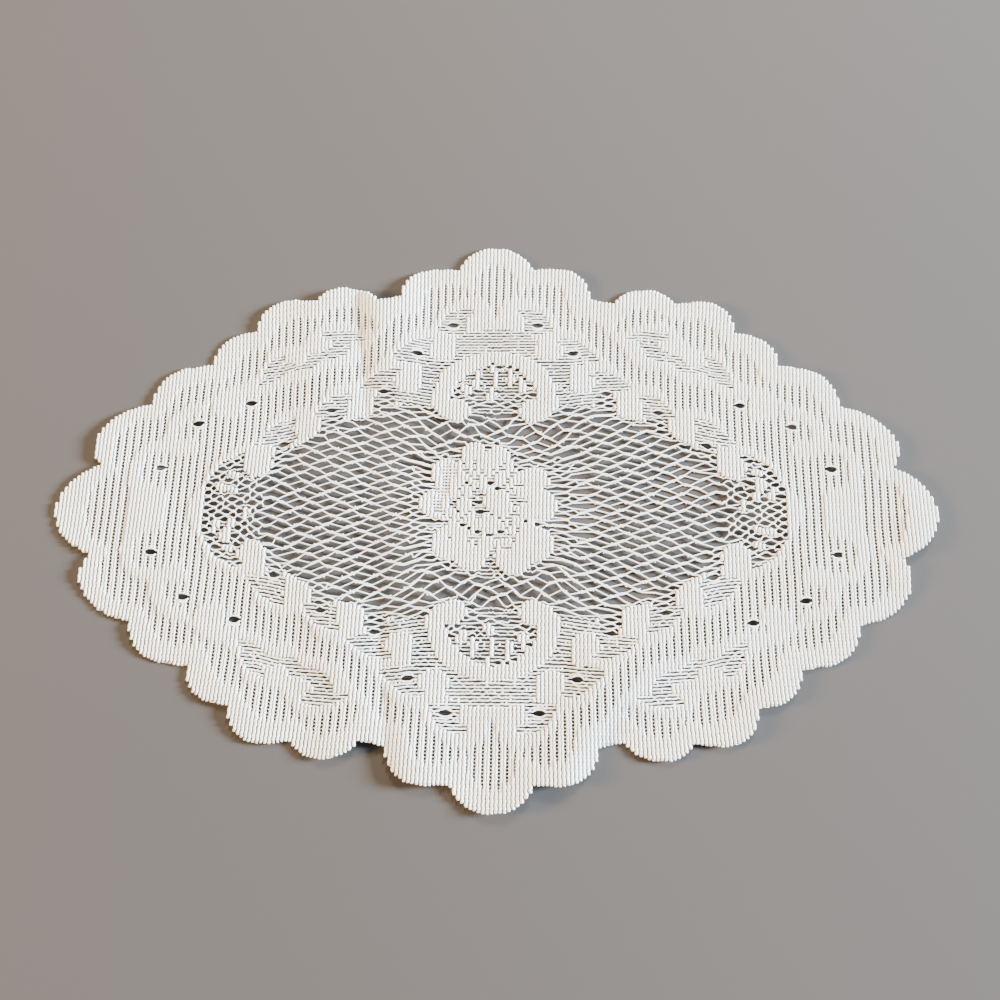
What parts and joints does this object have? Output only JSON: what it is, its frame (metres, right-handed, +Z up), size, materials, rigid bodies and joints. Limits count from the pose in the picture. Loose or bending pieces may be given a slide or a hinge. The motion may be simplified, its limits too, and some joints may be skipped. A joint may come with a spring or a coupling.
{
  "type": "lace doily",
  "caption": "White scalloped lace doily with a rose in an open net, scrolls, leaves and fans, lying flat with soft creases.",
  "frame": {"origin": "middle of the mat on its underside", "axes": "+X along the mat, +Y across it, +Z up through its face"},
  "size_m": [0.4576, 0.3024, 0.0056],
  "materials": {
    "lace_yarn": "matt white knitted yarn"
  },
  "bodies": {
    "root": {"lace_mat": "lace_yarn"}
  },
  "joints": []
}
